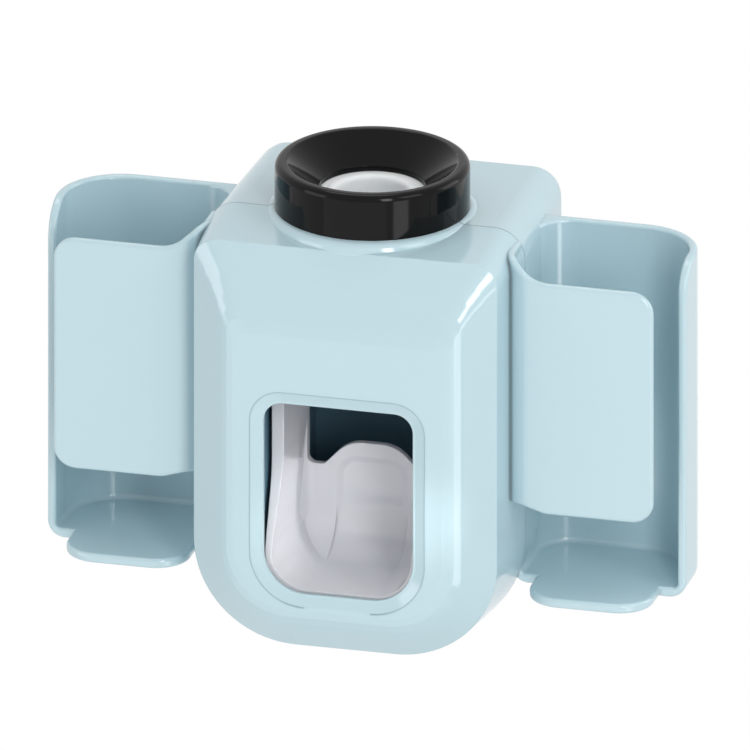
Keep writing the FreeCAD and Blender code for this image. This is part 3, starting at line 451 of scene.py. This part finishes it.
@dataclass
class WindowLipPaintedShadow(SubAssembly):
    """Fine line of painted shadow in the front face, round the outer edge of the window's sloping lip."""

    half_width_mm: float = 19.7
    top_drop_mm: float = 42.9
    bottom_drop_mm: float = 94.7
    top_radius_mm: float = 5.0
    bottom_radius_mm: float = 11.0
    lip_mm: float = 3.4
    line_mm: float = 0.24
    proud_mm: float = 0.03
    arc_steps: int = 16

    def outline(self, margin_mm: float) -> list[tuple[float, float, float]]:
        """Works out a rounded outline round the window, open at the bottom where the line fades out.

        Args:
            margin_mm: Distance outside the lip's own outline.

        Returns:
            The outline's points, from the right lower corner over the top to the left lower corner.
        """
        shell_low, shell_high = self.box_mm("front_shell")
        top, bottom = shell_high.z - self.top_drop_mm, shell_high.z - self.bottom_drop_mm
        corners = ((1, self.bottom_radius_mm, bottom + self.bottom_radius_mm),
                   (1, self.top_radius_mm, top - self.top_radius_mm),
                   (-1, self.top_radius_mm, top - self.top_radius_mm),
                   (-1, self.bottom_radius_mm, bottom + self.bottom_radius_mm))
        points = []
        for quarter, (side, radius, middle_z) in enumerate(corners, -1):
            middle_x = side * (self.half_width_mm - radius)
            reach = radius + self.lip_mm + margin_mm
            for step in range(self.arc_steps + 1):
                angle = math.pi / 2 * (quarter + step / self.arc_steps)
                points.append((middle_x + reach * math.cos(angle), shell_low.y - self.proud_mm,
                               middle_z + reach * math.sin(angle)))
        return points

    def build(self) -> None:
        """Adds the painted shadow as a narrow band."""
        # Painted shadow: a darker band laid just proud of the front face where the lip steps down
        pairs = zip(self.outline(-self.line_mm / 2), self.outline(self.line_mm / 2))
        points = [point for pair in pairs for point in pair]
        self.add_sheet("window_lip_painted_shadow", points, 2, LIP_PAINTED_SHADOW, Body.HOUSING, Slot.HOUSING_BLUE)


@dataclass
class TubeSocket(SubAssembly):
    """Funnel ring and the soft seal that grips the tube's neck."""

    def build(self) -> None:
        """Dresses the socket."""
        self.dress(BLACK_ABS, "funnel_ring")
        self.dress(WHITE_SILICONE, "tube_seal")


@dataclass
class Pump(SubAssembly):
    """Cylinder, valves, piston, crosshead and nozzle."""

    def build(self) -> None:
        """Dresses the pump."""
        self.dress(WHITE_ABS, "pump_cylinder", "piston", "crosshead", "nozzle")
        self.dress(WHITE_SILICONE, "inlet_valve", "outlet_valve")
        self.dress(BLACK_NITRILE, "cylinder_o_ring", "piston_seal")
        self.dress(ZINC_STEEL, "crosshead_pins")


@dataclass
class ReturnSpring(SubAssembly):
    """Coil spring under the cylinder's cup: a rigid coil that rides up on the crosshead without shortening by
    the stroke.
    """

    node: str = "return_spring"
    joint: str = "piston_stroke"
    wire_radius_mm: float = 0.6
    turns: int = 6
    turn_steps: int = 48
    wire_steps: int = 12

    def build(self) -> None:
        """Winds the coil in the place of the construction's rigid one."""
        low, high = self.box_mm(self.node)
        middle = (low + high) / 2
        radius = (high.x - low.x) / 2 - self.wire_radius_mm
        rise = high.z - low.z - 2 * self.wire_radius_mm
        steps = self.turns * self.turn_steps
        points = []
        for step in range(steps + 1):
            turn = math.tau * step / self.turn_steps
            height = low.z + self.wire_radius_mm + rise * step / steps
            for corner in range(self.wire_steps + 1):
                angle = math.tau * corner / self.wire_steps
                reach = radius + self.wire_radius_mm * math.cos(angle)
                points.append((middle.x + reach * math.cos(turn), middle.y + reach * math.sin(turn),
                               height + self.wire_radius_mm * math.sin(angle)))
        row = self.wire_steps + 1
        coil = self.add_sheet("return_coil", points, row, ZINC_STEEL, Body.PISTON, Slot.STEEL)
        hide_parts(self.node)
        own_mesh(coil)


@dataclass
class LeverWorks(SubAssembly):
    """Scoop lever and the frame that carries its pivots."""

    def build(self) -> None:
        """Dresses the lever and its frame."""
        self.dress(WHITE_ABS, "push_lever", "pivot_bushes")
        self.dress(SHADE_PP, "pump_frame")
        self.dress(ZINC_STEEL, "lever_pivot_pins", "frame_screws")


@dataclass
class WallMount(SubAssembly):
    """Hook plate and the adhesive pad behind it."""

    def build(self) -> None:
        """Dresses the wall mount."""
        self.dress(SLATE_PP, "wall_plate")
        self.dress(ACRYLIC_FOAM, "adhesive_pad")


@dataclass
class PhotoCamera:
    """Camera of the photograph: far away with a long lens, so it is drawn without perspective."""

    azimuth_deg: float = 14.8
    elevation_deg: float = 21.75
    pixels_per_mm: float = 3.92
    frame_pixels: float = 750.0
    deck_pixel: tuple[float, float] = (372.44, 204.6)
    deck_mm: tuple[float, float, float] = (0.0, -43.0, 57.0)
    distance_mm: float = 900.0

    def axes(self) -> tuple[Vector, Vector, Vector]:
        """Works out the camera's directions.

        Returns:
            Unit vectors to the right, up and back towards the camera.
        """
        turn, rise = math.radians(self.azimuth_deg), math.radians(self.elevation_deg)
        right = Vector((math.cos(turn), math.sin(turn), 0))
        back = Vector((math.sin(turn) * math.cos(rise), -math.cos(turn) * math.cos(rise), math.sin(rise)))
        return right, back.cross(right), back

    def build(self) -> None:
        """Places the camera so that the middle of the deck falls on its pixel."""
        right, up, back = self.axes()
        mm_per_pixel = MM / self.pixels_per_mm
        middle = self.frame_pixels / 2
        aim = Vector(self.deck_mm) * MM
        aim += right * ((middle - self.deck_pixel[0]) * mm_per_pixel)
        aim -= up * ((middle - self.deck_pixel[1]) * mm_per_pixel)
        data = bpy.data.cameras.new("photo_camera")
        data.type = "ORTHO"
        data.ortho_scale = self.frame_pixels * mm_per_pixel
        camera = bpy.data.objects.new("photo_camera", data)
        camera.matrix_world = Matrix((right, up, back)).transposed().to_4x4()
        camera.location = aim + back * (self.distance_mm * MM)
        bpy.context.scene.collection.objects.link(camera)
        bpy.context.scene.camera = camera


@dataclass(frozen=True)
class Softbox:
    """Soft lamp that the object sees in one direction."""

    name: str
    towards: tuple[float, float, float]
    stance: Stance
    size_mm: tuple[float, float]
    radiance: float
    distance_mm: float = 1000.0

    def build(self, aim: Vector) -> None:
        """Hangs the lamp facing a point.

        Args:
            aim: Point that the lamp faces.
        """
        back = Vector(self.towards).normalized()
        side = Vector(self.stance.value)
        side = (side - back * side.dot(back)).normalized()
        data = bpy.data.lights.new(self.name, "AREA")
        data.shape = "RECTANGLE"
        data.size, data.size_y = (size * MM for size in self.size_mm)
        data.energy = self.radiance * math.pi * data.size * data.size_y
        lamp = bpy.data.objects.new(self.name, data)
        lamp.matrix_world = Matrix((side, back.cross(side), back)).transposed().to_4x4()
        lamp.location = aim + back * (self.distance_mm * MM)
        bpy.context.scene.collection.objects.link(lamp)


@dataclass(frozen=True)
class Snoot:
    """Narrow lamp that lights one small spot."""

    name: str
    spot_mm: tuple[float, float, float]
    towards: tuple[float, float, float]
    distance_mm: float
    spot_radius_mm: float
    bulb_radius_mm: float
    watts: float

    def build(self) -> None:
        """Hangs the lamp so that it points at its spot, which fades out from its middle."""
        back = Vector(self.towards).normalized()
        data = bpy.data.lights.new(self.name, "SPOT")
        data.energy = self.watts
        data.spot_size = 2 * math.atan(self.spot_radius_mm / self.distance_mm)
        data.spot_blend = 1.0
        data.shadow_soft_size = self.bulb_radius_mm * MM
        lamp = bpy.data.objects.new(self.name, data)
        lamp.rotation_euler = back.to_track_quat("Z", "Y").to_euler()
        lamp.location = (Vector(self.spot_mm) + back * self.distance_mm) * MM
        bpy.context.scene.collection.objects.link(lamp)


@dataclass
class Studio:
    """White sweep, soft surrounding light, softboxes round the object and a snoot for the lever.

    A backdrop strength of 1 renders as its plain colour.
    """

    horizon_light: float = 0.45
    zenith_light: float = 0.62
    floor_drop_mm: float = 900.0
    floor_size_mm: float = 9000.0
    floor_colour: str = "#E8E8E8"
    backdrop_colour: str = "#FFFFFF"
    backdrop_strength: float = 1.0
    lamps: tuple[Softbox, ...] = (
        Softbox("key_strip", (0.48, -0.80, 0.36), Stance.UPRIGHT, (620.0, 190.0), radiance=8.0),
        Softbox("front_softbox", (0.69, -0.62, -0.37), Stance.UPRIGHT, (500.0, 300.0), radiance=2.4),
        Softbox("top_softbox", (-0.15, 0.25, 0.95), Stance.LEVEL, (500.0, 300.0), radiance=3.0),
        Softbox("right_softbox", (0.85, 0.45, 0.3), Stance.UPRIGHT, (600.0, 500.0), radiance=2.0),
        Softbox("high_softbox", (0.72, -0.35, 0.6), Stance.UPRIGHT, (500.0, 400.0), radiance=2.2),
        Softbox("left_softbox", (-0.8, -0.58, 0.12), Stance.UPRIGHT, (600.0, 500.0), radiance=1.9),
        Softbox("bounce_card", (-0.1, -0.72, -0.68), Stance.LEVEL, (1500.0, 1200.0), radiance=0.42),
    )
    snoot: Snoot = Snoot("lever_snoot", (-17.0, -61.0, -22.0), (0.81, -0.56, 0.17), distance_mm=400.0,
                         spot_radius_mm=20.0, bulb_radius_mm=5.0, watts=3.0)

    def seen_rays(self, tree: bpy.types.NodeTree) -> bpy.types.NodeSocket:
        """Adds a switch that is 1 for rays that see the backdrop: direct, mirrored or through glass.

        Args:
            tree: Node tree that gets the switch.

        Returns:
            The switch's output.
        """
        path = add_node(tree, "ShaderNodeLightPath").outputs
        gloss = add_node(tree, "ShaderNodeMath", {"operation": "MAXIMUM"},
                         {0: path["Is Camera Ray"], 1: path["Is Glossy Ray"]})
        both = add_node(tree, "ShaderNodeMath", {"operation": "MAXIMUM"},
                        {0: gloss.outputs[0], 1: path["Is Transmission Ray"]})
        return both.outputs[0]

    def light_world(self) -> None:
        """Fills the world with light that grows towards the zenith, before a white backdrop."""
        world = bpy.data.worlds.new("studio_world")
        bpy.context.scene.world = world
        world.use_nodes = True
        tree = world.node_tree
        tree.nodes.clear()
        white = linear(self.backdrop_colour)
        toward = add_node(tree, "ShaderNodeTexCoord").outputs["Generated"]
        height = add_node(tree, "ShaderNodeSeparateXYZ", None, {"Vector": toward}).outputs["Z"]
        light = add_node(tree, "ShaderNodeMapRange",
                         {"To Min": self.horizon_light, "To Max": self.zenith_light}, {"Value": height})
        fill = add_node(tree, "ShaderNodeBackground", {"Color": white}, {"Strength": light.outputs["Result"]})
        seen = add_node(tree, "ShaderNodeBackground", {"Color": white, "Strength": self.backdrop_strength})
        mix = add_node(tree, "ShaderNodeMixShader", None,
                       {0: self.seen_rays(tree), 1: fill.outputs[0], 2: seen.outputs[0]})
        add_node(tree, "ShaderNodeOutputWorld", None, {"Surface": mix.outputs[0]})

    def lay_floor(self) -> None:
        """Lays the floor well below the object, which hangs on a wall."""
        half = self.floor_size_mm * MM / 2
        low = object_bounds()[0].z - self.floor_drop_mm * MM
        mesh = bpy.data.meshes.new("studio_floor")
        corners = [(-half, -half, low), (half, -half, low), (half, half, low), (-half, half, low)]
        mesh.from_pydata(corners, [], [(0, 1, 2, 3)])
        floor = bpy.data.objects.new("studio_floor", mesh)
        bpy.context.scene.collection.objects.link(floor)
        material, tree = empty_material("white_paper_sweep")
        matt = add_node(tree, "ShaderNodeBsdfDiffuse", {"Color": linear(self.floor_colour)})
        glow = add_node(tree, "ShaderNodeEmission",
                        {"Color": linear(self.backdrop_colour), "Strength": self.backdrop_strength})
        mix = add_node(tree, "ShaderNodeMixShader", None,
                       {0: self.seen_rays(tree), 1: matt.outputs[0], 2: glow.outputs[0]})
        add_node(tree, "ShaderNodeOutputMaterial", None, {"Surface": mix.outputs[0]})
        mesh.materials.append(material)
        floor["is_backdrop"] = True

    def build(self) -> None:
        """Sets up floor, world and lamps."""
        low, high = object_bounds()
        self.light_world()
        self.lay_floor()
        for lamp in self.lamps:
            lamp.build((low + high) / 2)
        self.snoot.build()
        bpy.context.scene.view_settings.view_transform = "Standard"


def main() -> None:
    """Loads the construction, dresses it, and sets up the studio."""
    logging.basicConfig(level=logging.INFO, format="%(name)s %(message)s")
    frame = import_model()
    assemblies = (Housing, CollarBead, WindowLipPaintedShadow, TubeSocket, Pump, ReturnSpring, LeverWorks, WallMount)
    for assembly in assemblies:
        assembly(frame).build()
    Studio().build()
    PhotoCamera().build()


if __name__ == "__main__":
    main()
